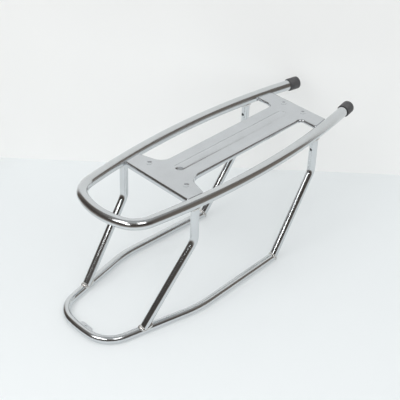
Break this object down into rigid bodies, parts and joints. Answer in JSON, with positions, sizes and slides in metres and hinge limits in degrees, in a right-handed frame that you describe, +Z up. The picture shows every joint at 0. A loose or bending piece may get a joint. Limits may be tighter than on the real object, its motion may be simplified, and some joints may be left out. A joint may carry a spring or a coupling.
{
  "type": "motorcycle luggage rack",
  "caption": "Plated tubular luggage rack: a hairpin upper rail with a pressed carrier plate, carried by bent struts on a lower U-shaped rail with a mounting lug.",
  "frame": {"origin": "middle of the bounding box at its base, on the floor that the lower rail lies on", "axes": "+X forward, towards the capped open ends of the upper rail; +Y left; +Z up, square to the plane of both rails"},
  "size_m": [0.498, 0.1764, 0.1896],
  "materials": {
    "bright_chrome": "polished chrome plate on steel tube",
    "satin_chrome": "chrome plate on pressed sheet, slightly dull",
    "plated_weld": "plated weld bead, rough",
    "black_rubber": "matt black"
  },
  "bodies": {
    "root": {"upper_rail": "bright_chrome", "lower_rail": "bright_chrome", "rear_strut_left": "bright_chrome", "rear_strut_right": "bright_chrome", "front_strut_left": "bright_chrome", "front_strut_right": "bright_chrome", "carrier_plate": "satin_chrome", "mudguard_lug": "satin_chrome", "strut_top_welds": "plated_weld", "strut_foot_welds": "plated_weld", "plate_welds": "plated_weld", "lug_weld": "plated_weld", "end_cap_left": "black_rubber", "end_cap_right": "black_rubber"}
  },
  "joints": []
}
